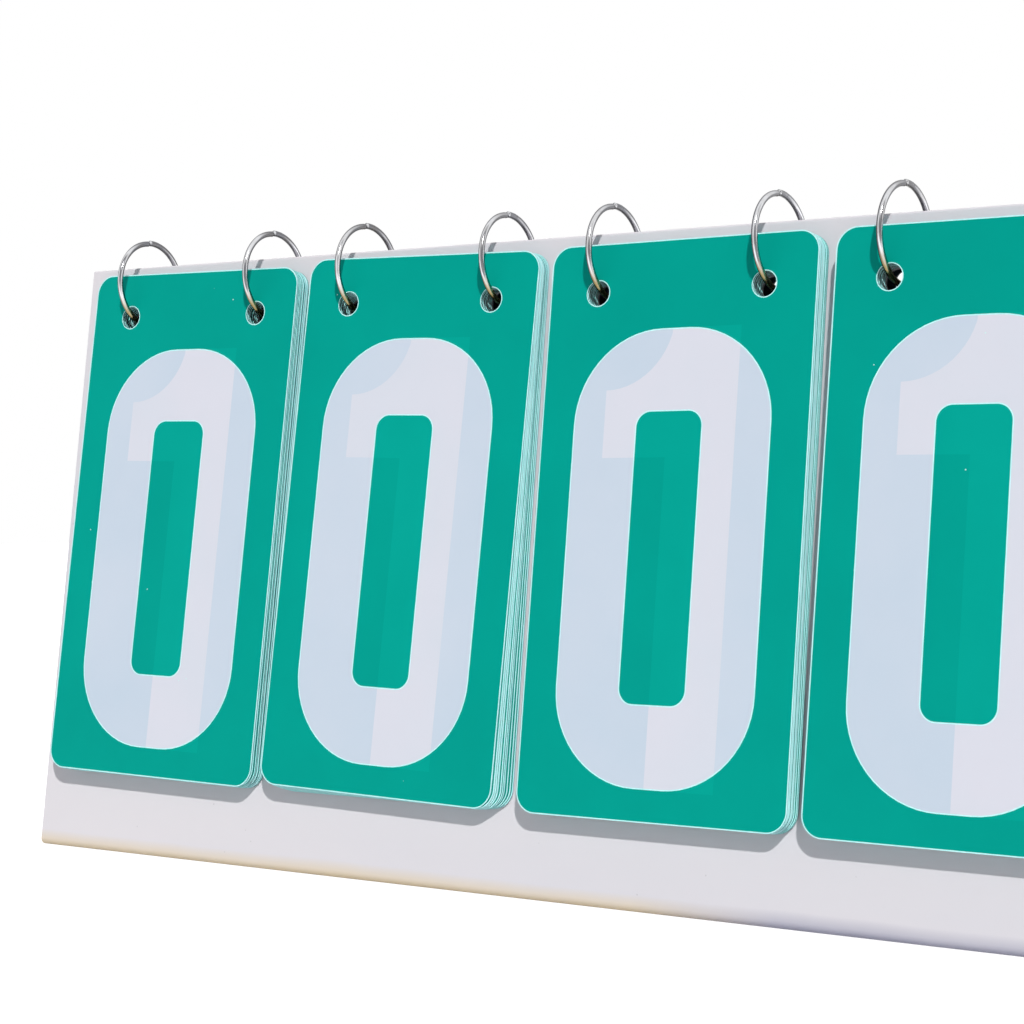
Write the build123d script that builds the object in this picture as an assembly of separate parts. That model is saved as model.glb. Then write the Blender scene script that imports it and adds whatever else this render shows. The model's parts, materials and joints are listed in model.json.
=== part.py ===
from build123d import *
import os
from math import atan2, cos, radians, sin, tan

# Tabletop flip scoreboard. A folded sheet stands as an A-frame: front panel, ridge, back panel, and a
# base of two flaps that hook-and-loop strips join. Four packets of ten number cards hang from binder
# rings that pass through both panels. Lengths are millimetres and angles degrees. X runs along the
# ridge, -Y is the side that the cards face, and the origin is on the table below the ridge.

# Cards
CARDS = 10
CARD_WIDTH = 87.0
CARD_HEIGHT = 166.0
CARD_THICKNESS = 0.3
CARD_CORNER_RADIUS = 6.2
CARD_AIR = 0.3
CARD_PITCH = CARD_THICKNESS + CARD_AIR
CARD_TO_PANEL_GAP = 0.6
CARD_HOLE_HALF_SPACING = 27.1
CARD_HOLE_INSET = 14.6

# Board
LEAN = 8.0
COLUMNS = 4
COLUMN_GAP = 5.0
COLUMN_PITCH = CARD_WIDTH + COLUMN_GAP
SIDE_MARGIN = 8.5
SLOPE_HEIGHT = 196.0
SHEET = 0.6
RIDGE_INNER_RADIUS = 0.1
RIDGE_RADIUS = SHEET + RIDGE_INNER_RADIUS
BOTTOM_BEND_RADIUS = 2.0
CREASE_GAP = 0.1

# Binder rings, and the holes that they pass through with room to turn
RING_RADIUS = 14.2
RING_WIRE_RADIUS = 0.8
RING_CENTRE_DROP = 5.9
RING_JOINT_ANGLE = 92.0
RING_JOINT_GROOVE_WIDTH = 0.3
RING_JOINT_GROOVE_DEPTH = 0.1
CARD_HOLE_CLEARANCE = 2.9
CARD_HOLE_RADIUS = RING_WIRE_RADIUS + CARD_HOLE_CLEARANCE
CARD_HOLE_ABOVE_WIRE = 0.74
RING_HANG = RING_RADIUS - CARD_HOLE_ABOVE_WIRE
PANEL_HOLE_CLEARANCE = 2.8
PANEL_HOLE_RADIUS = RING_WIRE_RADIUS + PANEL_HOLE_CLEARANCE
PANEL_HOLE_ABOVE_WIRE = 0.6
PANEL_HOLE_BELOW_CENTRE = RING_RADIUS - PANEL_HOLE_ABOVE_WIRE

# Base flaps and their hook-and-loop strips
STRIP_LENGTH = 60.0
STRIP_WIDTH = 12.0
STRIP_THICKNESS = 0.7
STRIP_CORNER_RADIUS = 1.5
STRIP_SPACING = 120.0
STRIP_COUNT = 3
STRIP_TO_FLAP_EDGE = 1.0
FLAP_SETBACK = 3.0
FLAP_TIP_RADIUS = 5.0
FLAP_OVERLAP = STRIP_WIDTH + 2 * STRIP_TO_FLAP_EDGE
FLAP_OVERLAP_CENTRE = -3.0
FLAP_JOGGLE_GAP = 1.0
FLAP_JOGGLE_RUN = 3.0


class Point:
    """A place or a direction in the side view, with the cards' side at negative Y."""

    def __init__(self, y, z):
        self.y = y
        self.z = z

    def along(self, direction, distance):
        return Point(self.y + direction.y * distance, self.z + direction.z * distance)

    def at_angle(self, degrees, radius):
        return Point(self.y + radius * cos(radians(degrees)), self.z + radius * sin(radians(degrees)))

    def vector(self, x=0.0):
        return Vector(x, self.y, self.z)


# Side-view directions of the two leaning panels
FRONT_OUT = Point(-cos(radians(LEAN)), sin(radians(LEAN)))
FRONT_DOWN = Point(-sin(radians(LEAN)), -cos(radians(LEAN)))
BACK_OUT = Point(cos(radians(LEAN)), sin(radians(LEAN)))
BACK_DOWN = Point(sin(radians(LEAN)), -cos(radians(LEAN)))
FRONT_OUT_ANGLE = 180.0 - LEAN
BACK_OUT_ANGLE = LEAN
STRAIGHT_DOWN = 270.0

# Side-view places
BOARD_WIDTH = (COLUMNS - 1) * COLUMN_PITCH + CARD_WIDTH + 2 * SIDE_MARGIN
TOP_Z = SLOPE_HEIGHT * cos(radians(LEAN))
RIDGE = Point(0.0, TOP_Z - RIDGE_RADIUS)
RING_CENTRE = Point(0.0, TOP_Z - RING_CENTRE_DROP)
RIDGE_TO_BEND = RIDGE_RADIUS - BOTTOM_BEND_RADIUS
FRONT_RUN = (RIDGE.z + RIDGE_TO_BEND * sin(radians(LEAN)) - BOTTOM_BEND_RADIUS) / cos(radians(LEAN))
FRONT_FOOT = RIDGE.along(FRONT_OUT, RIDGE_TO_BEND).along(FRONT_DOWN, FRONT_RUN)
BACK_RUN = (RIDGE.z + RIDGE_RADIUS * sin(radians(LEAN))) / cos(radians(LEAN))
BACK_FOOT = RIDGE.along(BACK_OUT, RIDGE_RADIUS).along(BACK_DOWN, BACK_RUN)
MITRE = SHEET / tan(radians((90.0 - LEAN) / 2))
PANEL_FROM_CENTRE = (RING_CENTRE_DROP - RIDGE_RADIUS) * sin(radians(LEAN)) + RIDGE_RADIUS
FLAP_STEP = SHEET + 2 * STRIP_THICKNESS
OVERLAP_FRONT_Y = FLAP_OVERLAP_CENTRE - FLAP_OVERLAP / 2
OVERLAP_BACK_Y = FLAP_OVERLAP_CENTRE + FLAP_OVERLAP / 2


def column_x(column):
    """Centre of a column, counted from 1 at the left."""
    return (column - (COLUMNS + 1) / 2) * COLUMN_PITCH


def hole_positions():
    """Every ring's place along the ridge, left to right."""
    centres = [column_x(column) for column in range(1, COLUMNS + 1)]
    return [x + side * CARD_HOLE_HALF_SPACING for x in centres for side in (-1, 1)]


def sheet_from_profile(edges, width):
    """A closed side view, pulled to a width about the middle of the board."""
    profile = Face(Wire(edges))
    return extrude(profile, amount=width / 2, dir=(1, 0, 0), both=True)


def arc(centre, radius, start, end):
    middle = centre.at_angle((start + end) / 2, radius)
    return ThreePointArc(
        centre.at_angle(start, radius).vector(),
        middle.vector(),
        centre.at_angle(end, radius).vector(),
    )


def line(start, end):
    return Line(start.vector(), end.vector())


def closed_polygon(points):
    return [line(points[i - 1], points[i]) for i in range(len(points))]


def front_plane():
    """The front panel's plane through the ring centre, with its Y axis up the slope."""
    return Plane(origin=RING_CENTRE.vector(), x_dir=(1, 0, 0), z_dir=FRONT_OUT.vector())


def panel_holes(outward, down):
    """Cutters for the ring holes of the panel that faces outward."""
    centre = RING_CENTRE.along(down, PANEL_HOLE_BELOW_CENTRE)
    reach = 2 * (PANEL_FROM_CENTRE + SHEET)
    cutters = []
    for x in hole_positions():
        plane = Plane(origin=centre.vector(x), z_dir=outward.vector())
        cutters.append(plane * Cylinder(PANEL_HOLE_RADIUS, reach))
    return cutters


def make_front_panel():
    """Front slope with the folded ridge above it and the rolled bend below it."""
    bend_inner = BOTTOM_BEND_RADIUS - SHEET
    bend_end_inner = FRONT_FOOT.at_angle(STRAIGHT_DOWN, bend_inner)
    bend_end_outer = FRONT_FOOT.at_angle(STRAIGHT_DOWN, BOTTOM_BEND_RADIUS)
    edges = [
        arc(FRONT_FOOT, BOTTOM_BEND_RADIUS, STRAIGHT_DOWN, FRONT_OUT_ANGLE),
        line(FRONT_FOOT.along(FRONT_OUT, BOTTOM_BEND_RADIUS), RIDGE.along(FRONT_OUT, RIDGE_RADIUS)),
        arc(RIDGE, RIDGE_RADIUS, FRONT_OUT_ANGLE, BACK_OUT_ANGLE),
        line(RIDGE.along(BACK_OUT, RIDGE_RADIUS), RIDGE.along(BACK_OUT, RIDGE_INNER_RADIUS)),
        arc(RIDGE, RIDGE_INNER_RADIUS, BACK_OUT_ANGLE, FRONT_OUT_ANGLE),
        line(RIDGE.along(FRONT_OUT, RIDGE_INNER_RADIUS), FRONT_FOOT.along(FRONT_OUT, bend_inner)),
        arc(FRONT_FOOT, bend_inner, FRONT_OUT_ANGLE, STRAIGHT_DOWN),
        line(bend_end_inner, bend_end_outer),
    ]
    return sheet_from_profile(edges, BOARD_WIDTH) - panel_holes(FRONT_OUT, FRONT_DOWN)


def make_back_panel():
    """Back slope, from the crease at the ridge to the mitred foot."""
    outer_top = RIDGE.along(BACK_OUT, RIDGE_RADIUS).along(BACK_DOWN, CREASE_GAP)
    inner_top = RIDGE.along(BACK_OUT, RIDGE_INNER_RADIUS).along(BACK_DOWN, CREASE_GAP)
    inner_foot = BACK_FOOT.along(BACK_OUT, -SHEET).along(BACK_DOWN, -MITRE)
    edges = closed_polygon([outer_top, BACK_FOOT, inner_foot, inner_top])
    return sheet_from_profile(edges, BOARD_WIDTH) - panel_holes(BACK_OUT, BACK_DOWN)


def round_tip(flap, tip_y):
    """Round the two corners of a flap's free edge, seen from above."""
    tip_edges = [
        edge
        for edge in flap.edges().filter_by(Axis.Z)
        if abs(edge.center().Y - tip_y) < SHEET
    ]
    return fillet(tip_edges, FLAP_TIP_RADIUS)


def make_front_flap():
    """Front half of the base, with a step up over the back flap and both strips."""
    start = FRONT_FOOT.y + CREASE_GAP
    step_end = OVERLAP_FRONT_Y - FLAP_JOGGLE_GAP
    step_start = step_end - FLAP_JOGGLE_RUN
    shift = SHEET * tan(atan2(FLAP_STEP, FLAP_JOGGLE_RUN) / 2)
    points = [
        Point(start, 0.0),
        Point(step_start, 0.0),
        Point(step_end, FLAP_STEP),
        Point(OVERLAP_BACK_Y, FLAP_STEP),
        Point(OVERLAP_BACK_Y, FLAP_STEP + SHEET),
        Point(step_end - shift, FLAP_STEP + SHEET),
        Point(step_start - shift, SHEET),
        Point(start, SHEET),
    ]
    flap = sheet_from_profile(closed_polygon(points), BOARD_WIDTH - 2 * FLAP_SETBACK)
    return round_tip(flap, OVERLAP_BACK_Y)


def make_back_flap():
    """Back half of the base, flat on the table from the back panel's foot."""
    points = [
        Point(BACK_FOOT.y - CREASE_GAP, 0.0),
        Point(BACK_FOOT.y - CREASE_GAP - MITRE, SHEET),
        Point(OVERLAP_FRONT_Y, SHEET),
        Point(OVERLAP_FRONT_Y, 0.0),
    ]
    flap = sheet_from_profile(closed_polygon(points), BOARD_WIDTH - 2 * FLAP_SETBACK)
    return round_tip(flap, OVERLAP_FRONT_Y)


def make_strips(bottom_z):
    """A row of strips on the overlap, with their undersides at one height."""
    outline = RectangleRounded(STRIP_LENGTH, STRIP_WIDTH, STRIP_CORNER_RADIUS)
    strip = extrude(outline, STRIP_THICKNESS)
    offsets = [(i - (STRIP_COUNT - 1) / 2) * STRIP_SPACING for i in range(STRIP_COUNT)]
    return Compound([Pos(x, FLAP_OVERLAP_CENTRE, bottom_z) * strip for x in offsets])


def make_card(column, numeral):
    """One card, hanging from its two holes; numeral 0 is at the front."""
    places_from_back = CARDS - 1 - numeral
    back_face = PANEL_FROM_CENTRE + CARD_TO_PANEL_GAP + places_from_back * CARD_PITCH
    holes_y = -RING_HANG
    middle_y = holes_y + CARD_HOLE_INSET - CARD_HEIGHT / 2
    outline = Pos(0, middle_y) * RectangleRounded(CARD_WIDTH, CARD_HEIGHT, CARD_CORNER_RADIUS)
    for side in (-1, 1):
        outline -= Pos(side * CARD_HOLE_HALF_SPACING, holes_y) * Circle(CARD_HOLE_RADIUS)
    card = extrude(outline, CARD_THICKNESS)
    return front_plane() * Pos(column_x(column), 0, back_face) * card


def make_ring(x):
    """Closed binder ring about the ridge, with the fine groove of its snap joint near the top."""
    ring = Plane(origin=RING_CENTRE.vector(x), z_dir=(1, 0, 0)) * Torus(RING_RADIUS, RING_WIRE_RADIUS)
    joint = RING_CENTRE.at_angle(RING_JOINT_ANGLE, RING_RADIUS)
    tangent = RING_CENTRE.at_angle(RING_JOINT_ANGLE + 90.0, 1.0).vector() - RING_CENTRE.vector()
    plane = Plane(origin=joint.vector(x), z_dir=tangent)
    collar = Cylinder(2 * RING_WIRE_RADIUS, RING_JOINT_GROOVE_WIDTH)
    core = Cylinder(RING_WIRE_RADIUS - RING_JOINT_GROOVE_DEPTH, RING_JOINT_GROOVE_WIDTH)
    return ring - plane * (collar - core)


def make_nodes():
    """Every node of the scoreboard by name."""
    nodes = {
        "front_panel": make_front_panel(),
        "back_panel": make_back_panel(),
        "front_base_flap": make_front_flap(),
        "back_base_flap": make_back_flap(),
        "loop_strips": make_strips(SHEET),
        "hook_strips": make_strips(SHEET + STRIP_THICKNESS),
    }
    for column in range(1, COLUMNS + 1):
        for side, name in ((-1, "left"), (1, "right")):
            x = column_x(column) + side * CARD_HOLE_HALF_SPACING
            nodes[f"column_{column}_{name}_ring"] = make_ring(x)
        for numeral in range(CARDS):
            nodes[f"column_{column}_card_{numeral}"] = make_card(column, numeral)
    return nodes


os.makedirs("parts", exist_ok=True)
for node_name, solid in make_nodes().items():
    export_step(solid, f"parts/{node_name}.step")
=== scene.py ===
import json
from math import cos, pi, radians, sin
from random import Random

import bmesh
import bpy
import numpy as np
from mathutils import Matrix, Vector
from mathutils.geometry import delaunay_2d_cdt


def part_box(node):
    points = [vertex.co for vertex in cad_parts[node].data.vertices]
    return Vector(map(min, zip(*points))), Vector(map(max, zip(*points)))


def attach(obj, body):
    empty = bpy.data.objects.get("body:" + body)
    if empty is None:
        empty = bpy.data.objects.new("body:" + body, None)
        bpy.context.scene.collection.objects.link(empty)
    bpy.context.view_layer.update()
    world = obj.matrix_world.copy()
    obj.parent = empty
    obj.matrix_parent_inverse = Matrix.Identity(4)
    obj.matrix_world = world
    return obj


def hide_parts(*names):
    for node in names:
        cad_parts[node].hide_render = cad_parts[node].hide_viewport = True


# Looks of a tabletop flip scoreboard: printed number cards, binder rings, a folded plastic board and the
# hook-and-loop pads of its base. Lengths are metres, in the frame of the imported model. A card's drawing is
# made in its own plane: u to the right and v down, both from the card's centre.

MM = 0.001

# Cards and their print
CARDS = 10
CARD_CORNER = 6.2 * MM
HOLE_RADIUS = 3.7 * MM
HOLE_INSET = 14.6 * MM
# Widths of the painted highlight band along the card's edges and holes, and inside the white numeral's edge
EDGE_GLOW = 0.34 * MM
HOLE_GLOW = 0.28 * MM
STROKE = 22.0 * MM
NUMERAL_TOP = -57.5 * MM
NUMERAL_BOTTOM = 73.4 * MM
NUMERAL_LEFT = -33.3 * MM
NUMERAL_RIGHT = 30.9 * MM
BOWL_RADIUS = 27.5 * MM
COUNTER_RADIUS = 4.5 * MM
WAIST_RISE = 4.0 * MM
CROOK = 4.0 * MM
TERMINAL = 20.0 * MM
ZERO_COUNTER_LEFT = -12.2 * MM
ZERO_COUNTER_TOP = -33.5 * MM
ZERO_COUNTER_RIGHT = 9.0 * MM
ZERO_COUNTER_BOTTOM = 49.8 * MM
ONE_STEM_LEFT = -2.2 * MM
ONE_STEM_RIGHT = 19.8 * MM
ONE_FLAG_LEFT = -23.0 * MM
ONE_FLAG_FOOT = -20.3 * MM
ONE_FLAG_RISE = 4.0 * MM
ONE_FLAG_RADIUS = 21.5 * MM
ONE_FLAG_END = 0.18
TWO_SHOULDER = 12.0 * MM
TWO_KNEE = 26.0 * MM
TWO_HEEL = 12.0 * MM
SEVEN_SHOULDER = 14.0 * MM
SEVEN_KNEE = (-2.0 * MM, 18.0 * MM)
SEVEN_FOOT = -5.0 * MM
PRINT_SHIFT = (0.9 * MM, 0.4 * MM)
ARC_STEP = radians(6.0)
MITRE_LIMIT = 0.4
JOIN = 1e-5

# How loosely the cards hang in their holes: the front card of each column, then the spread behind it
HANG_TURN = [radians(a) for a in (0.85, 1.3, -0.18, 0.1)]
HANG_SHIFT = 0.3 * MM
HANG_DROP = 0.12 * MM
LOOSE_TURN = radians(0.12)
LOOSE_SHIFT = 0.14 * MM
BACK_TURN = [radians(a) for a in (0.72, -0.15, -0.28, 0.05)]
BACK_SPREAD = 0.4 * MM

# Rings: each is turned about the upright (yaw) and in its own plane's tilt (roll)
RING_YAWS = [radians(a) for a in (2.6, 2.6, 3.4, 2.6, 3.2, 4.2, 4.6, 4.0)]
RING_ROLLS = [radians(a) for a in (0.5, 0.6, 0.1, 1.6, 1.6, 1.8, -1.2, 0.8)]
RING_SHIFT = 0.5 * MM
WIRE_RADIUS = 0.95 * MM
LIP = 0.03 * MM
SNAP_WAIST = 0.72
SNAP_ANGLE = radians(100.0)
SNAP_GAP = radians(1.0)
SNAP_SLEEVE = radians(16.0)
HALF_STEP = 0.28 * MM
HALF_STEP_REACH = radians(60.0)
RING_STEPS = 360
WIRE_STEPS = 24

# Finishes
FLECKS = {"scale": 230.0, "size": 0.05}
BOARD_SCUFFS = {"scale": 190.0, "size": 0.05}
WIRE_PITS = {"scale": 1500.0, "size": 0.08}
FLECK_COLOUR = (196, 236, 232)
# Painted light along the board's bottom edge: its height band, and where along X its warm painted floor
# reflection turns to painted shade
BOTTOM_LIGHT_TURNS = 40.0 * MM
BOTTOM_LIGHT_TURN_LENGTH = 45.0 * MM
BOTTOM_LIGHT_LOW = 0.5 * MM
BOTTOM_LIGHT_HIGH = 5.2 * MM
# The facing that sets where the ring wire's painted highlight and painted shade lines run
LIT_SIDE = (0.58, -0.8, 0.12)
BRASS_BELOW = 183.5 * MM
BRASS_FADE = 5.0 * MM

# Camera and light
LENS = 81.11
SENSOR = 36.0
CAMERA_RIGHT = (0.83255, -0.07343, 0.54907)
CAMERA_DOWN = (0.00482, 0.99210, 0.12538)
CAMERA_FORWARD = (-0.55393, -0.10174, 0.82632)
CAMERA_PLACE = (325.66 * MM, 65.78 * MM, -560.52 * MM)
CAMERA_SHIFT = (-0.0034, 0.0026)
SUN_PATH = (-0.68, 0.84, 1.0)
SUN_POWER = 2.75
SUN_ANGLE = radians(2.2)
FLOOR_REACH = 3.0
FLOOR_GLOW = 0.55
FLOOR_DULL = (0.80, 0.80, 0.81, 1.0)
FLOOR_PALE = (0.83, 0.83, 0.84, 1.0)
AMBIENT = (0.315, 0.315, 0.332, 1.0)
AMBIENT_BEHIND = (0.66, 0.66, 0.68, 1.0)
BEHIND_FROM = 0.0
BEHIND_TO = 0.5
SUN_COLOUR = (1.0, 0.985, 0.955)
BLACK = (0.0, 0.0, 0.0, 1.0)
WHITE_LIGHT = (1.0, 1.0, 1.0, 1.0)

# The colour sockets of a Mix node, by number, because its sockets for numbers have the same names
MIX_LOW = 6
MIX_HIGH = 7
MIX_RESULT = 2

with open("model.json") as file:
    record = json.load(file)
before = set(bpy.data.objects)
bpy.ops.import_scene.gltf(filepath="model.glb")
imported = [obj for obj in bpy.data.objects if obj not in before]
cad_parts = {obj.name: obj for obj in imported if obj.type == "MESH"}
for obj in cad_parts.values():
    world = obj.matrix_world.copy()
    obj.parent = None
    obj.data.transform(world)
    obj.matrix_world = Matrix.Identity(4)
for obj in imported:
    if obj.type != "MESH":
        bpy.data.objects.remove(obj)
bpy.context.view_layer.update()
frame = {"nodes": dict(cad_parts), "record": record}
nodes = frame["nodes"]
bodies = frame["record"]["behaviour"]["bodies"]
columns = range(1, sum(name.endswith("_packet") for name in bodies) + 1)


def vertices(node):
    """A node's corners as an array, from the frame."""
    return np.array([v.co for v in nodes[node].data.vertices], float).reshape(-1, 3)


class CardPlane:
    """Where one card lies: its centre, its outward normal and its down-slope direction."""

    def __init__(self, node):
        points = vertices(node)
        low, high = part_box(node)
        self.centre = (low + high) / 2
        spread = np.linalg.svd(points - points.mean(0), full_matrices=False)[2][2]
        outward = Vector(spread).normalized()
        self.out = -outward if outward.y > 0 else outward
        self.right = Vector((1.0, 0.0, 0.0))
        self.down = self.out.cross(self.right).normalized()
        if self.down.z > 0:
            self.down.negate()
        depth = (points - np.array(self.centre)) @ np.array(self.out)
        slope = (points - np.array(self.centre)) @ np.array(self.down)
        self.thickness = float(depth.max() - depth.min())
        self.height = float(slope.max() - slope.min())
        self.width = high.x - low.x

    def matrix(self):
        """Carries u, v and height above the card's middle plane into the frame."""
        m = Matrix((self.right, self.down, self.out)).transposed().to_4x4()
        m.translation = self.centre
        return m


front_card = CardPlane("column_1_card_0")
left_ring_low, left_ring_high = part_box("column_1_left_ring")
HOLE_OFFSET = abs((left_ring_low.x + left_ring_high.x) / 2 - front_card.centre.x)
HOLE_V = HOLE_INSET - front_card.height / 2
panel_low, panel_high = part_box("front_panel")
# The row of the front panel's holes, where the hole walls and the inner face take painted shade
PANEL_HOLES_LOW = left_ring_low.z - 3.0 * MM
PANEL_HOLES_HIGH = left_ring_low.z + 7.0 * MM
PANEL_SIDE = 1.0 * MM
PANEL_HOLES_REACH = (panel_high.x - panel_low.x) / 2 - PANEL_SIDE


# ---------------------------------------------------------------- shader wiring


class Wire:
    """A node's output that turns arithmetic into Math nodes."""

    def __init__(self, wiring, socket):
        self.wiring = wiring
        self.socket = socket

    def other(self, output):
        """Another output of the same node."""
        return Wire(self.wiring, self.socket.node.outputs[output])

    def math(self, operation, *values):
        return self.wiring.add("ShaderNodeMath", {"operation": operation}, dict(enumerate(values)))

    def larger(self, other):
        return self.math("MAXIMUM", self, other)

    def __abs__(self):
        return self.math("ABSOLUTE", self)

    def __add__(self, other):
        return self.math("ADD", self, other)

    def __sub__(self, other):
        return self.math("SUBTRACT", self, other)

    def __rsub__(self, other):
        return self.math("SUBTRACT", other, self)

    def __mul__(self, other):
        return self.math("MULTIPLY", self, other)

    def __gt__(self, other):
        return self.math("GREATER_THAN", self, other)

    def __lt__(self, other):
        return self.math("LESS_THAN", self, other)

    __radd__ = __add__
    __rmul__ = __mul__


class Wiring:
    """The nodes of one material or world."""

    def __init__(self, owner):
        owner.use_nodes = True
        self.tree = owner.node_tree

    def add(self, kind, settings, values, output=0):
        node = self.tree.nodes.new(kind)
        for key, value in settings.items():
            setattr(node, key, value)
        for key, value in values.items():
            self.feed(node.inputs[key], value)
        return Wire(self, node.outputs[output])

    def feed(self, socket, value):
        if isinstance(value, Wire):
            self.tree.links.new(value.socket, socket)
        else:
            socket.default_value = value

    def ramp(self, value, low, high):
        """A share of 0 to 1 as a value goes from low to high."""
        return self.add("ShaderNodeMapRange", {}, {"Value": value, "From Min": low, "From Max": high})

    def mix(self, factor, low, high):
        """Colour between two others."""
        values = {0: factor, MIX_LOW: low, MIX_HIGH: high}
        return self.add("ShaderNodeMix", {"data_type": "RGBA"}, values, MIX_RESULT)

    def bright_rays(self):
        """One where a ray looks, mirrors or passes through, rather than gathers light."""
        seen = self.add("ShaderNodeLightPath", {}, {}, "Is Camera Ray")
        return seen.larger(seen.other("Is Glossy Ray")).larger(seen.other("Is Transmission Ray"))


class Finish(Wiring):
    """One node material with its principled shader."""

    def __init__(self, name):
        self.material = bpy.data.materials.new(name)
        super().__init__(self.material)
        self.shader = self.tree.nodes["Principled BSDF"]
        self.place = self.add("ShaderNodeTexCoord", {}, {}, "Object")

    def set(self, **values):
        """Feed the shader's own sockets, with underscores for the spaces in their names."""
        for key, value in values.items():
            self.feed(self.shader.inputs[key.replace("_", " ")], value)

    def noise(self, scale, detail=3.0, stretch=(1.0, 1.0, 1.0)):
        place = self.add("ShaderNodeMapping", {}, {"Vector": self.place, "Scale": stretch})
        return self.add("ShaderNodeTexNoise", {}, {"Vector": place, "Scale": scale, "Detail": detail})

    def specks(self, scale, size):
        """A mask of small round spots, one at the middle of each cell."""
        cells = self.add("ShaderNodeTexVoronoi", {}, {"Vector": self.place, "Scale": scale}, "Distance")
        return cells < size

    def axes(self, vector):
        """A vector's X, whose node gives its Y and Z as well."""
        return self.add("ShaderNodeSeparateXYZ", {}, {"Vector": vector})

    def bump(self, height, distance, strength):
        return self.add(
            "ShaderNodeBump", {}, {"Height": height, "Distance": distance, "Strength": strength}, "Normal"
        )


def colour(red, green, blue):
    """A linear colour from its screen values, 0 to 255."""
    def linear(value):
        share = value / 255
        return share / 12.92 if share <= 0.04045 else ((share + 0.055) / 1.055) ** 2.4

    return (linear(red), linear(green), linear(blue), 1.0)


# ---------------------------------------------------------------- finishes

BOARD_WHITE = colour(215, 212, 217)
BOARD_MARKED = colour(209, 208, 215)
# Painted light for the board's bottom edge: a warm painted reflection of the floor, then painted shade
PAINTED_FLOOR_REFLECTION = colour(212, 196, 168)
PAINTED_BOTTOM_SHADE = colour(160, 160, 178)
SCUFFED = colour(168, 166, 170)
# Painted shade for the walls of the board's holes and the inner face along their row
HOLE_ROW_PAINTED_SHADE = colour(40, 52, 62)
# Ring wire tones; the dark one is painted shade and the bright one a painted highlight
NICKEL_GREY = colour(118, 119, 124)
NICKEL_PAINTED_SHADE = colour(40, 41, 46)
NICKEL_PAINTED_HIGHLIGHT = colour(226, 227, 230)
TARNISH = colour(112, 104, 92)
BRASS = colour(158, 132, 70)
PITTED = colour(80, 76, 72)


def print_finish(name, base, cloudy, flecks):
    """Ink on satin plastic: faint clouds of density, pin-prick flecks and a fine orange peel.

    flecks is the level of noise, 0 to 1, above which flecks show.
    """
    finish = Finish(name)
    clouds = finish.ramp(finish.noise(26.0, 4.0), 0.3, 0.7)
    tone = finish.mix(clouds, base, cloudy)
    few = finish.noise(55.0, 0.0) > flecks
    tone = finish.mix(finish.specks(**FLECKS) * few * 0.8, tone, colour(*FLECK_COLOUR))
    peel = finish.noise(2600.0, 2.0)
    smudge = finish.ramp(finish.noise(34.0, 5.0, (1.0, 1.0, 0.3)), 0.35, 0.7)
    finish.set(
        Base_Color=tone,
        Roughness=0.4 + 0.16 * smudge,
        Normal=finish.bump(peel, 0.02 * MM, 0.35),
        IOR=1.46,
        Specular_IOR_Level=0.04,
    )
    return finish.material


def edge_finish(name, base, deep):
    """Cut edge of translucent plastic, with the tool's fine chatter. Its colours are painted light: the glow
    the plastic gathers, and painted shade on the walls of holes.
    """
    finish = Finish(name)
    chatter = finish.noise(900.0, 2.0, (1.0, 1.0, 0.15))
    finish.set(
        Base_Color=finish.mix(finish.ramp(chatter, 0.35, 0.65), base, deep),
        Roughness=0.3 + 0.2 * chatter,
        Normal=finish.bump(chatter, 0.03 * MM, 0.4),
        IOR=1.46,
        Specular_IOR_Level=0.3,
    )
    return finish.material


def board_finish(name, inner_side):
    """White plastic-faced board: a fine grain, faint handling marks, and painted light where it meets the
    table: a warm painted reflection of the floor that turns to painted shade further right.

    inner_side is the sign of Y on the face that looks into the stand, or 0 for a flap. The walls of a
    slope's holes, and its inner face in their row, are coloured dark as painted shade.
    """
    finish = Finish(name)
    grain = finish.noise(1500.0, 3.0)
    marks = finish.ramp(finish.noise(9.0, 6.0, (0.5, 1.0, 1.6)), 0.38, 0.72)
    tone = finish.mix(marks, BOARD_WHITE, BOARD_MARKED)
    along = finish.axes(finish.place)
    height = along.other("Z")
    wobble = 1.6 * MM * (finish.noise(20.0, 3.0) - 0.5)
    # Painted light, not dirt: the bottom few millimetres take a warm painted floor reflection at the left
    # that turns to painted shade further right
    painted_bottom_light = 1 - finish.ramp(height + wobble, BOTTOM_LIGHT_LOW, BOTTOM_LIGHT_HIGH)
    towards_shade = finish.ramp(along, BOTTOM_LIGHT_TURNS, BOTTOM_LIGHT_TURNS + BOTTOM_LIGHT_TURN_LENGTH)
    tone = finish.mix(painted_bottom_light, tone, finish.mix(towards_shade, PAINTED_FLOOR_REFLECTION, PAINTED_BOTTOM_SHADE))
    scuff = finish.specks(**BOARD_SCUFFS) * (finish.noise(40.0, 0.0) > 0.62)
    tone = finish.mix(scuff * 0.4, tone, SCUFFED)
    if inner_side:
        normal = finish.add("ShaderNodeTexCoord", {}, {}, "Normal")
        facing = finish.axes(normal).other("Y") * inner_side
        # Painted shade: in the row of the holes, the hole walls and the inner face are coloured dark so that
        # the holes look shaded
        painted_shade_row = (height > PANEL_HOLES_LOW) * (height < PANEL_HOLES_HIGH) * (abs(along) < PANEL_HOLES_REACH)
        tone = finish.mix(painted_shade_row * (facing > -0.5), tone, HOLE_ROW_PAINTED_SHADE)
    finish.set(
        Base_Color=tone,
        Roughness=0.46 + 0.14 * marks,
        Normal=finish.bump(grain, 0.03 * MM, 0.3),
        IOR=1.47,
        Specular_IOR_Level=0.2,
    )
    return finish.material


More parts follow.
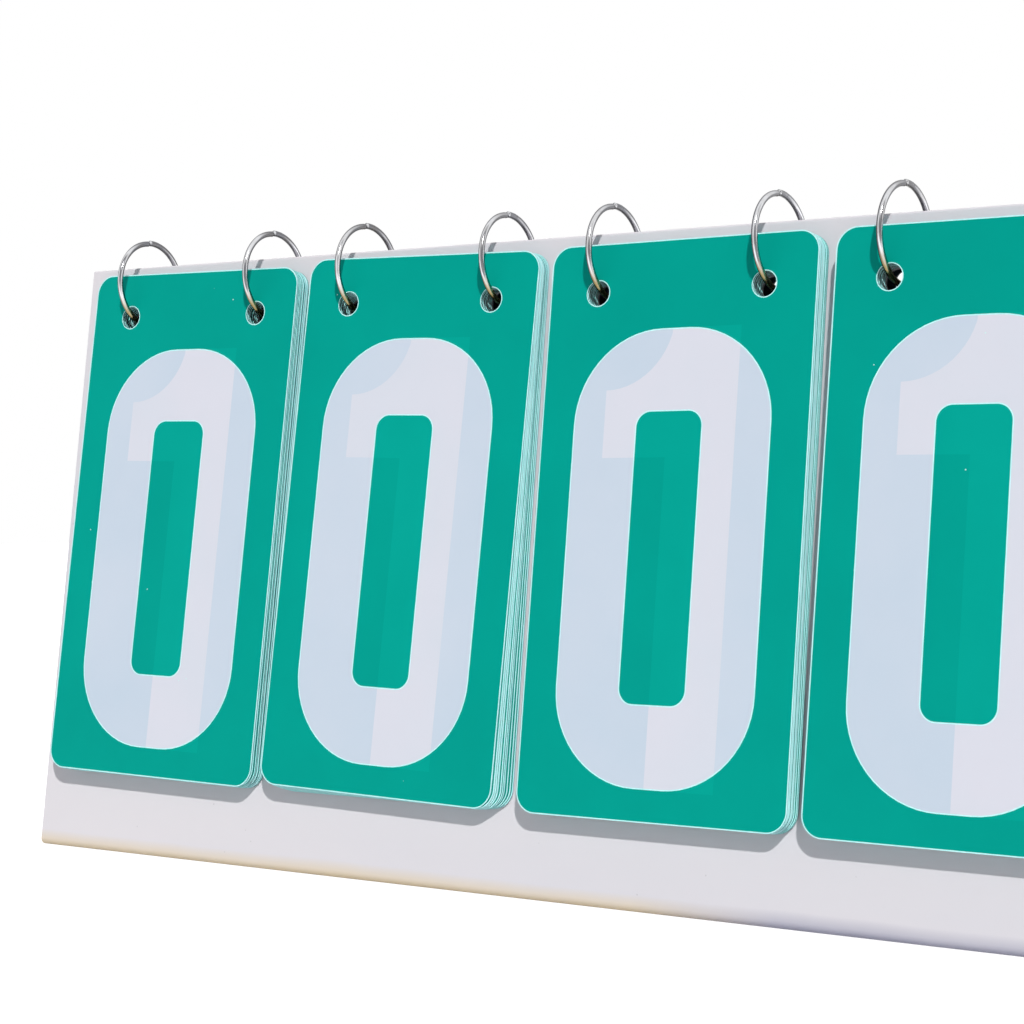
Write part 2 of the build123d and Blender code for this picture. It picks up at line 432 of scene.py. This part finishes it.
def nickel_finish():
    """Nickel plate on drawn wire: painted shade and highlight lines by facing, tarnish and a brassy lower
    bow.
    """
    finish = Finish("nickel_wire")
    normal = finish.add("ShaderNodeTexCoord", {}, {}, "Normal")
    wander = finish.noise(90.0, 2.0)
    # Painted shade and painted highlights: lines along the wire darken or brighten by how its surface faces
    # LIT_SIDE
    side = finish.add("ShaderNodeVectorMath", {"operation": "DOT_PRODUCT"}, {0: normal, 1: LIT_SIDE}, "Value")
    level = abs(side) + 0.3 * (wander - 0.5)
    painted_shade_line = 1 - finish.ramp(level, 0.3, 0.55)
    painted_highlight_line = finish.ramp(level, 0.62, 0.78) * (1 - finish.ramp(level, 0.88, 0.96))
    tarnish = finish.ramp(finish.noise(260.0, 4.0), 0.42, 0.75)
    tone = finish.mix(painted_shade_line, NICKEL_GREY, NICKEL_PAINTED_SHADE)
    tone = finish.mix(painted_highlight_line, tone, NICKEL_PAINTED_HIGHLIGHT)
    tone = finish.mix(tarnish * 0.35, tone, TARNISH)
    height = finish.axes(finish.place).other("Z")
    low = 1 - finish.ramp(height + 3.0 * MM * (wander - 0.5), BRASS_BELOW - BRASS_FADE, BRASS_BELOW)
    tone = finish.mix(low * (1 - 0.8 * painted_shade_line) * 0.8, tone, BRASS)
    tone = finish.mix(finish.specks(**WIRE_PITS) * 0.5, tone, PITTED)
    finish.set(
        Base_Color=tone,
        Metallic=1.0,
        Roughness=0.16 + 0.12 * tarnish,
        Normal=finish.bump(finish.noise(4200.0, 1.0), 0.01 * MM, 0.3),
    )
    return finish.material


def tape_finish(name, base, shade, scale, pile):
    """Woven nylon tape under its hooks or loops."""
    finish = Finish(name)

    def yarn(direction, distortion):
        values = {"Vector": finish.place, "Scale": scale, "Distortion": distortion, "Detail": 2.0}
        return finish.add("ShaderNodeTexWave", {"bands_direction": direction}, values, "Fac")

    weave = yarn("X", 2.0) * yarn("Y", 2.5)
    fuzz = finish.noise(3200.0, 4.0)
    finish.set(
        Base_Color=finish.mix(weave * 0.7 + 0.3 * fuzz, shade, base),
        Roughness=0.86,
        Normal=finish.bump(weave + fuzz * 0.6, pile, 0.8),
        Sheen_Weight=0.4,
        Sheen_Roughness=0.5,
    )
    return finish.material


# The four front print tones are lit and shaded copies of the print: the light and shade of what lies behind
# the card, painted into its colour
GREEN = print_finish("green_print", colour(0, 149, 136), colour(0, 155, 141), 0.7)
GREEN_BRIGHT = print_finish("green_print_painted_light_through", colour(0, 155, 141), colour(2, 160, 146), 0.7)
WHITE_SHADED = print_finish("white_print_painted_shade_through", colour(191, 205, 220), colour(197, 208, 222), 0.7)
WHITE = print_finish("white_print_painted_light_through", colour(212, 213, 224), colour(207, 212, 223), 0.7)
BACK_GREEN = print_finish("green_print_from_behind", colour(124, 196, 188), colour(132, 202, 194), 0.64)
BACK_WHITE = print_finish("white_print_from_behind", colour(222, 224, 231), colour(217, 221, 229), 0.66)
# A painted highlight: a bright band on the card's faces along its edges, holes and white numeral
PAINTED_RIM_HIGHLIGHT = edge_finish("rim_painted_highlight", colour(196, 248, 249), colour(176, 240, 240))
# The walls of the punched holes are painted shade, near-black
HOLE_WALL_SHADE = edge_finish("hole_wall_painted_shade", colour(10, 40, 46), colour(5, 20, 28))
CUT_EDGES = [
    edge_finish("pale_cut_edge", colour(206, 240, 246), colour(176, 222, 230)),
    edge_finish("teal_cut_edge", colour(36, 160, 152), colour(22, 128, 126)),
    edge_finish("grey_cut_edge", colour(150, 190, 200), colour(120, 160, 172)),
]
BOARD_FRONT = board_finish("front_board_face", 1.0)
BOARD_BACK = board_finish("back_board_face", -1.0)
BOARD_FLAP = board_finish("base_flap_face", 0.0)
NICKEL = nickel_finish()
HOOK_TAPE = tape_finish("hook_tape", colour(226, 226, 224), colour(168, 168, 166), 420.0, 0.12 * MM)
LOOP_TAPE = tape_finish("loop_tape", colour(236, 236, 233), colour(190, 190, 188), 260.0, 0.2 * MM)
CARD_SLOTS = [GREEN, GREEN_BRIGHT, WHITE_SHADED, WHITE, PAINTED_RIM_HIGHLIGHT, BACK_GREEN, BACK_WHITE, HOLE_WALL_SHADE]
NAMED_SLOTS = (WHITE_SHADED, PAINTED_RIM_HIGHLIGHT, BACK_GREEN, BACK_WHITE, HOLE_WALL_SHADE)
WHITE_SLOT, RIM_SLOT, BACK_GREEN_SLOT, BACK_WHITE_SLOT, HOLE_SLOT = map(CARD_SLOTS.index, NAMED_SLOTS)
EDGE_SLOT = len(CARD_SLOTS)
EDGE_CHOICES = (0, 1, 1, 2)


# ---------------------------------------------------------------- numeral outlines


def arc(centre, radius, start, end):
    """Points of an arc, with angles from u towards v."""
    count = max(2, round(abs(end - start) / ARC_STEP) + 1)
    turns = [start + (end - start) * i / (count - 1) for i in range(count)]
    return [(centre[0] + radius * cos(t), centre[1] + radius * sin(t)) for t in turns]


def rounded_box(left, top, right, bottom, radius):
    quarter = pi / 2
    corners = [
        ((right - radius, top + radius), -quarter),
        ((right - radius, bottom - radius), 0.0),
        ((left + radius, bottom - radius), quarter),
        ((left + radius, top + radius), 2 * quarter),
    ]
    return [p for centre, start in corners for p in arc(centre, radius, start, start + quarter)]


def band(path, width, ends):
    """A stroke of one width along a path, longer by ends at both its ends."""
    points = [Vector(p) for p in path]
    points[0] = points[0] + (points[0] - points[1]).normalized() * ends
    points[-1] = points[-1] + (points[-1] - points[-2]).normalized() * ends
    left, right = [], []
    for i, point in enumerate(points):
        before = (point - points[i - 1]).normalized() if i else None
        after = (points[i + 1] - point).normalized() if i + 1 < len(points) else None
        along = ((before or after) + (after or before)).normalized()
        stretch = 1 / max(MITRE_LIMIT, along.dot(after or before))
        side = Vector((along.y, -along.x)) * width / 2 * stretch
        left.append(tuple(point + side))
        right.append(tuple(point - side))
    return left + right[::-1]


LEFT = NUMERAL_LEFT + STROKE / 2
RIGHT = NUMERAL_RIGHT - STROKE / 2
TOP = NUMERAL_TOP + STROKE / 2
BOTTOM = NUMERAL_BOTTOM - STROKE / 2
WAIST = (NUMERAL_TOP + NUMERAL_BOTTOM) / 2 - WAIST_RISE
BOWL = BOWL_RADIUS - STROKE / 2


def bend(corner, side, level):
    """Quarter turn of a stroke's middle line at a corner, drawn from its upright end to its level end."""
    centre = (corner[0] - side * BOWL, corner[1] - level * BOWL)
    upright = 0.0 if side > 0 else pi
    flat = level * pi / 2
    if side < 0 and level < 0:
        flat = 3 * pi / 2
    return arc(centre, BOWL, upright, flat)


def bowl_outline(top, bottom, spread):
    """The outside of a closed bowl; spread shrinks the ink all round."""
    left, right = NUMERAL_LEFT + spread, NUMERAL_RIGHT - spread
    return rounded_box(left, top + spread, right, bottom - spread, BOWL_RADIUS - spread)


def counter_outline(left, top, right, bottom, spread):
    """The hole in a bowl, which grows as the ink shrinks."""
    return rounded_box(left - spread, top - spread, right + spread, bottom + spread, COUNTER_RADIUS + spread)


def ring_stroke(top, bottom, spread):
    """A closed bowl with a stroke of one width all round."""
    left, right = NUMERAL_LEFT + STROKE, NUMERAL_RIGHT - STROKE
    counter = counter_outline(left, top + STROKE, right, bottom - STROKE, spread)
    return [(True, bowl_outline(top, bottom, spread)), (False, counter)]


def numeral_one(spread):
    left, right = ONE_STEM_LEFT + spread, ONE_STEM_RIGHT - spread
    top, bottom = NUMERAL_TOP + spread, NUMERAL_BOTTOM - spread
    stem = [(left, top), (right, top), (right, bottom), (left, bottom)]
    sweep_centre = (ONE_FLAG_LEFT, NUMERAL_TOP - ONE_FLAG_RISE)
    sweep = arc(sweep_centre, ONE_FLAG_RADIUS - spread, pi / 2, ONE_FLAG_END)
    flag = [(u + spread, v + 2 * spread) for u, v in sweep]
    foot = [(left + spread, ONE_FLAG_FOOT - spread), (ONE_FLAG_LEFT + spread, ONE_FLAG_FOOT - spread)]
    return [(True, stem), (True, flag + foot)]


def strokes(*paths):
    """Numerals drawn as strokes; each path is a middle line with how far its ends run on."""

    def ink(spread):
        return [(True, band(path, STROKE - 2 * spread, ends - spread)) for path, ends in paths]

    return ink


def two():
    hook = bend((LEFT, TOP), -1, -1) + bend((RIGHT, TOP), 1, -1)[::-1]
    start = [(LEFT, TOP + BOWL + TERMINAL)]
    fall_end = (LEFT, BOTTOM - TWO_HEEL)
    knee = (LEFT + CROOK, BOTTOM - TWO_KNEE)
    fall = [(RIGHT, WAIST - TWO_SHOULDER), (RIGHT - CROOK, WAIST), knee, fall_end]
    heel = [fall_end, (LEFT, BOTTOM)]
    base = [(LEFT, BOTTOM), (RIGHT, BOTTOM)]
    return strokes((start + hook + fall, 0.0), (heel, STROKE / 2), (base, STROKE / 2))


def three():
    upper = [(LEFT, TOP + BOWL + TERMINAL)] + bend((LEFT, TOP), -1, -1) + bend((RIGHT, TOP), 1, -1)[::-1]
    upper += bend((RIGHT, WAIST), 1, 1) + [(LEFT + STROKE, WAIST)]
    lower = [(LEFT + STROKE, WAIST)] + bend((RIGHT, WAIST), 1, -1)[::-1] + bend((RIGHT, BOTTOM), 1, 1)
    lower += bend((LEFT, BOTTOM), -1, 1)[::-1] + [(LEFT, BOTTOM - BOWL - TERMINAL)]
    return strokes((upper, 0.0), (lower, 0.0))


def four():
    stem_u = RIGHT - STROKE / 2
    bar_v = BOTTOM - STROKE
    return strokes(
        ([(stem_u, TOP), (stem_u, BOTTOM)], STROKE / 2),
        ([(LEFT, bar_v), (RIGHT, bar_v)], STROKE / 2),
        ([(stem_u - STROKE / 2, TOP), (LEFT, bar_v - STROKE / 2), (LEFT, bar_v)], STROKE / 2),
    )


def five():
    bowl = [(LEFT, WAIST)] + bend((RIGHT, WAIST), 1, -1)[::-1] + bend((RIGHT, BOTTOM), 1, 1)
    bowl += bend((LEFT, BOTTOM), -1, 1)[::-1] + [(LEFT, BOTTOM - BOWL - TERMINAL)]
    return strokes(
        ([(LEFT, TOP), (RIGHT, TOP)], STROKE / 2), ([(LEFT, TOP), (LEFT, WAIST)], STROKE / 2), (bowl, 0.0)
    )


def six():
    hook = [(RIGHT, TOP + BOWL + TERMINAL / 2)] + bend((RIGHT, TOP), 1, -1)
    hook += bend((LEFT, TOP), -1, -1)[::-1] + [(LEFT, BOTTOM - BOWL)]

    def ink(spread):
        return ring_stroke(WAIST - STROKE / 2, NUMERAL_BOTTOM, spread) + strokes((hook, 0.0))(spread)

    return ink


def seven():
    across, down = SEVEN_KNEE
    fall = [(RIGHT, TOP), (RIGHT, TOP + SEVEN_SHOULDER), (across, WAIST + down), (SEVEN_FOOT, BOTTOM)]
    return strokes(([(LEFT, TOP), (RIGHT, TOP)], STROKE / 2), (fall, STROKE / 2))


def eight():
    def ink(spread):
        upper = ring_stroke(NUMERAL_TOP, WAIST + STROKE / 2, spread)
        lower = ring_stroke(WAIST - STROKE / 2, NUMERAL_BOTTOM, spread)
        return [upper[0], lower[0], upper[1], lower[1]]

    return ink


def nine():
    hook = [(LEFT, BOTTOM - BOWL - TERMINAL / 2)] + bend((LEFT, BOTTOM), -1, 1)
    hook += bend((RIGHT, BOTTOM), 1, 1)[::-1] + [(RIGHT, TOP + BOWL)]

    def ink(spread):
        return ring_stroke(NUMERAL_TOP, WAIST + STROKE / 2, spread) + strokes((hook, 0.0))(spread)

    return ink


def zero(spread):
    box = (ZERO_COUNTER_LEFT, ZERO_COUNTER_TOP, ZERO_COUNTER_RIGHT, ZERO_COUNTER_BOTTOM)
    return [
        (True, bowl_outline(NUMERAL_TOP, NUMERAL_BOTTOM, spread)),
        (False, counter_outline(*box, spread)),
    ]


NUMERALS = [zero, numeral_one, two(), three(), four(), five(), six(), seven(), eight(), nine()]


# ---------------------------------------------------------------- cards


def inside(points, polygon):
    """Which points lie in a polygon, by counting the edges crossed to their right."""
    crossings = np.zeros(len(points), int)
    for (u0, v0), (u1, v1) in zip(polygon, polygon[1:] + polygon[:1]):
        if v0 == v1:
            continue
        spans = (points[:, 1] >= min(v0, v1)) & (points[:, 1] < max(v0, v1))
        reach = u0 + (points[:, 1] - v0) * (u1 - u0) / (v1 - v0)
        crossings += spans & (reach > points[:, 0])
    return crossings % 2 == 1


def inked(points, shapes):
    """Which points a numeral's shapes cover, with later shapes over earlier ones."""
    covered = np.zeros(len(points), bool)
    for adds, polygon in shapes:
        covered = np.where(inside(points, polygon), adds, covered)
    return covered


def card_outline(spread):
    half_w, half_h = front_card.width / 2 - spread, front_card.height / 2 - spread
    return rounded_box(-half_w, -half_h, half_w, half_h, CARD_CORNER - spread)


def card_holes(spread):
    turn = 2 * pi - ARC_STEP
    return [arc((side * HOLE_OFFSET, HOLE_V), HOLE_RADIUS + spread, 0.0, turn) for side in (-1, 1)]


def printed(numeral, spread):
    """A numeral's shapes where the print puts them on the card."""
    across, down = PRINT_SHIFT
    return [(adds, [(u + across, v + down) for u, v in shape]) for adds, shape in NUMERALS[numeral](spread)]


def card_mesh(numeral):
    """A card with its numeral, the next one painted faintly into its print as light and shade showing
    through, a painted highlight band along its edges and holes, and bright cut edges.
    """
    ink = printed(numeral, 0.0)
    ink_core = printed(numeral, EDGE_GLOW)
    ghost = printed(numeral + 1, 0.0) if numeral + 1 < CARDS else [(True, card_outline(0.0))]
    loops = [card_outline(0.0), card_outline(EDGE_GLOW)] + card_holes(0.0) + card_holes(HOLE_GLOW)
    loops += [polygon for _, polygon in ink + ink_core + ghost]
    points, edges = [], []
    for loop in loops:
        first = len(points)
        points += [Vector((u / MM, v / MM)) for u, v in loop]
        edges += [(first + i, first + (i + 1) % len(loop)) for i in range(len(loop))]
    flat, _, faces, _, _, _ = delaunay_2d_cdt(points, edges, [], 0, JOIN)
    flat = np.array([tuple(p) for p in flat]) * MM
    middles = np.array([flat[face].mean(0) for face in faces])
    solid = inside(middles, card_outline(0.0))
    for hole in card_holes(0.0):
        solid &= ~inside(middles, hole)
    # Painted highlight: a narrow band along the outline and holes on both faces, and inside the white
    # numeral's edge on the front, takes a bright colour
    rim = ~inside(middles, card_outline(EDGE_GLOW))
    for hole in card_holes(HOLE_GLOW):
        rim |= inside(middles, hole)
    white = inked(middles, ink)
    # Painted show-through: where the next white numeral, or the white board behind the last card, lies
    # behind, the print is painted lighter
    light_through_mask = inked(middles, ghost)
    glow = white & ~inked(middles, ink_core)
    front_slots = np.where(white, WHITE_SLOT, 0) + light_through_mask
    front_slots[glow | rim] = RIM_SLOT
    back_slots = np.where(rim, RIM_SLOT, np.where(white, BACK_WHITE_SLOT, BACK_GREEN_SLOT))
    return build_card(flat, [f for f, s in zip(faces, solid) if s], front_slots[solid], back_slots[solid])


def near_hole(point):
    """Whether a point of the card's plane is on the wall of a punched hole."""
    reach = HOLE_RADIUS + HOLE_GLOW
    return any(np.hypot(point[0] - side * HOLE_OFFSET, point[1] - HOLE_V) < reach for side in (-1, 1))


def build_card(flat, faces, front_slots, back_slots):
    """Two printed sides a thickness apart, joined by the cut edge."""
    mesh = bmesh.new()
    half = front_card.thickness / 2
    used = sorted({i for face in faces for i in face})
    front = {i: mesh.verts.new((flat[i][0], flat[i][1], half)) for i in used}
    back = {i: mesh.verts.new((flat[i][0], flat[i][1], -half)) for i in used}
    borders = {}
    for face, front_slot, back_slot in zip(faces, front_slots, back_slots):
        corner = flat[face[0]]
        (du, dv), (eu, ev) = flat[face[1]] - corner, flat[face[2]] - corner
        ordered = list(face) if du * ev - dv * eu > 0 else list(face)[::-1]
        mesh.faces.new([front[i] for i in ordered]).material_index = int(front_slot)
        mesh.faces.new([back[i] for i in ordered[::-1]]).material_index = int(back_slot)
        for a, b in zip(ordered, ordered[1:] + ordered[:1]):
            if (b, a) in borders:
                del borders[(b, a)]
            else:
                borders[(a, b)] = True
    for a, b in borders:
        wall = mesh.faces.new([front[b], front[a], back[a], back[b]])
        # Hole walls take painted shade; the other cut edges take their edge tone
        wall.material_index = HOLE_SLOT if near_hole(flat[a]) else EDGE_SLOT
    data = bpy.data.meshes.new("card")
    mesh.to_mesh(data)
    mesh.free()
    return data


def hang(column, numeral):
    """A card's loose place on its rings: a turn, a rise that keeps its lower hole off the wire, a shift."""
    depth = numeral / (CARDS - 1)
    turn = HANG_TURN[column - 1] * (1 - depth) + BACK_TURN[column - 1] * depth
    shift = HANG_SHIFT * (1 - depth) + BACK_SPREAD * depth
    if numeral:
        turn += chance.uniform(-LOOSE_TURN, LOOSE_TURN)
        shift += chance.uniform(-LOOSE_SHIFT, LOOSE_SHIFT)
    pivot = Matrix.Translation((0.0, HOLE_V, 0.0))
    rise = HOLE_OFFSET * sin(abs(turn)) * (1 - depth) ** 2
    moved = Matrix.Translation((shift, HANG_DROP - rise, 0.0))
    return moved @ pivot @ Matrix.Rotation(turn, 4, "Z") @ pivot.inverted()


def make_cards():
    for numeral in range(CARDS):
        pattern = card_mesh(numeral)
        for column in columns:
            node = f"column_{column}_card_{numeral}"
            data = pattern.copy()
            data.transform(CardPlane(node).matrix() @ hang(column, numeral))
            card = bpy.data.objects.new(f"column_{column}_printed_card_{numeral}", data)
            for material in CARD_SLOTS + [CUT_EDGES[chance.choice(EDGE_CHOICES)]]:
                data.materials.append(material)
            finish_piece(card, node)
        bpy.data.meshes.remove(pattern)


# ---------------------------------------------------------------- rings


def wire_radius(turn):
    """The wire's radius by its angle past the snap joint: a waist at the gap, a sleeve just before it."""
    past = (turn - SNAP_ANGLE + pi) % (2 * pi) - pi
    if abs(past) < SNAP_GAP:
        return WIRE_RADIUS * SNAP_WAIST
    if -SNAP_SLEEVE < past < 0:
        return WIRE_RADIUS
    return WIRE_RADIUS - LIP


def make_ring(node, yaw, roll):
    """A round wire ring with a snap joint, turned a little in its holes."""
    low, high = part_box(node)
    centre = (low + high) / 2 + front_card.right * RING_SHIFT
    mean_radius = (high.z - low.z) / 2 - WIRE_RADIUS
    into = -front_card.out * cos(yaw) + front_card.right * sin(yaw)
    up = -(front_card.down * cos(roll) + front_card.right * sin(roll))
    side = into.cross(up).normalized()
    points, faces = [], []
    for i in range(RING_STEPS):
        turn = 2 * pi * i / RING_STEPS
        outward = (into * cos(turn) + up * sin(turn)).normalized()
        past = (turn - SNAP_ANGLE) % (2 * pi)
        drop = HALF_STEP * max(0.0, 1 - past / HALF_STEP_REACH)
        radius = wire_radius(turn)
        for k in range(WIRE_STEPS):
            around = 2 * pi * k / WIRE_STEPS
            offset = outward * (cos(around) * radius + mean_radius - drop) + side * (sin(around) * radius)
            points.append(centre + offset)
            here, ahead = i * WIRE_STEPS, (i + 1) % RING_STEPS * WIRE_STEPS
            across = (k + 1) % WIRE_STEPS
            faces.append((here + k, ahead + k, ahead + across, here + across))
    data = bpy.data.meshes.new(node)
    data.from_pydata(points, [], faces)
    data.shade_smooth()
    data.materials.append(NICKEL)
    ring = bpy.data.objects.new(node + "_wire", data)
    finish_piece(ring, node)


def finish_piece(piece, node):
    """A drawn piece takes the place of its node and rides on the node's body."""
    bpy.context.scene.collection.objects.link(piece)
    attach(piece, next(name for name, members in bodies.items() if node in members))
    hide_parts(node)


def make_rings():
    names = [f"column_{column}_{side}_ring" for column in columns for side in ("left", "right")]
    for name, yaw, roll in zip(names, RING_YAWS, RING_ROLLS):
        make_ring(name, yaw, roll)


# ---------------------------------------------------------------- pieces kept from the frame


def dress(node, material):
    obj = nodes[node]
    obj.data.materials.clear()
    obj.data.materials.append(material)


def dress_frame():
    dress("front_panel", BOARD_FRONT)
    dress("back_panel", BOARD_BACK)
    dress("front_base_flap", BOARD_FLAP)
    dress("back_base_flap", BOARD_FLAP)
    dress("hook_strips", HOOK_TAPE)
    dress("loop_strips", LOOP_TAPE)


# ---------------------------------------------------------------- stage


def board_to_frame(vector):
    """From right, down the slope and into the board, to the frame's axes."""
    right, down, into = vector
    return front_card.right * right + front_card.down * down - front_card.out * into


def make_camera():
    aim = CardPlane(f"column_{len(columns) - 1}_card_0")
    origin = aim.centre + aim.out * aim.thickness / 2
    data = bpy.data.cameras.new("camera")
    data.lens = LENS
    data.shift_x, data.shift_y = CAMERA_SHIFT
    data.sensor_width = SENSOR
    camera = bpy.data.objects.new("camera", data)
    right, down, forward = (
        board_to_frame(v).normalized() for v in (CAMERA_RIGHT, CAMERA_DOWN, CAMERA_FORWARD)
    )
    turn = Matrix((right, -down, -forward)).transposed().to_4x4()
    turn.translation = origin + board_to_frame(CAMERA_PLACE)
    camera.matrix_world = turn
    bpy.context.scene.collection.objects.link(camera)
    bpy.context.scene.camera = camera


def make_light():
    data = bpy.data.lights.new("key", "SUN")
    data.energy = SUN_POWER
    data.angle = SUN_ANGLE
    data.color = SUN_COLOUR
    key = bpy.data.objects.new("key", data)
    path = board_to_frame(SUN_PATH).normalized()
    key.rotation_euler = path.to_track_quat("-Z", "Y").to_euler()
    bpy.context.scene.collection.objects.link(key)


def make_world():
    """Soft light from all round, brighter from behind, that looks white itself."""
    world = bpy.data.worlds.new("studio")
    sky = Wiring(world)
    toward = sky.add("ShaderNodeTexCoord", {}, {}, "Generated")
    behind = sky.add("ShaderNodeSeparateXYZ", {}, {"Vector": toward}, "Y")
    fill = sky.mix(sky.ramp(behind, BEHIND_FROM, BEHIND_TO), AMBIENT, AMBIENT_BEHIND)
    light = sky.add("ShaderNodeBackground", {}, {"Color": fill})
    white = sky.add("ShaderNodeBackground", {}, {"Color": WHITE_LIGHT})
    blend = sky.add("ShaderNodeMixShader", {}, {0: sky.bright_rays(), 1: light, 2: white})
    sky.feed(sky.tree.nodes["World Output"].inputs["Surface"], blend)
    bpy.context.scene.world = world


def make_floor():
    corners = [(-FLOOR_REACH, -FLOOR_REACH, 0), (FLOOR_REACH, -FLOOR_REACH, 0)]
    corners += [(FLOOR_REACH, FLOOR_REACH, 0), (-FLOOR_REACH, FLOOR_REACH, 0)]
    data = bpy.data.meshes.new("floor")
    data.from_pydata(corners, [], [(0, 1, 2, 3)])
    floor = bpy.data.objects.new("floor", data)
    finish = Finish("pale_floor")
    finish.set(
        Base_Color=finish.mix(finish.noise(3.0, 2.0), FLOOR_DULL, FLOOR_PALE),
        Roughness=0.9,
        Emission_Color=finish.mix(finish.bright_rays() * FLOOR_GLOW, BLACK, WHITE_LIGHT),
        Emission_Strength=1.0,
    )
    data.materials.append(finish.material)
    bpy.context.scene.collection.objects.link(floor)


chance = Random(11)
make_cards()
make_rings()
dress_frame()
make_world()
make_light()
make_floor()
make_camera()
bpy.context.scene.view_settings.view_transform = "Standard"
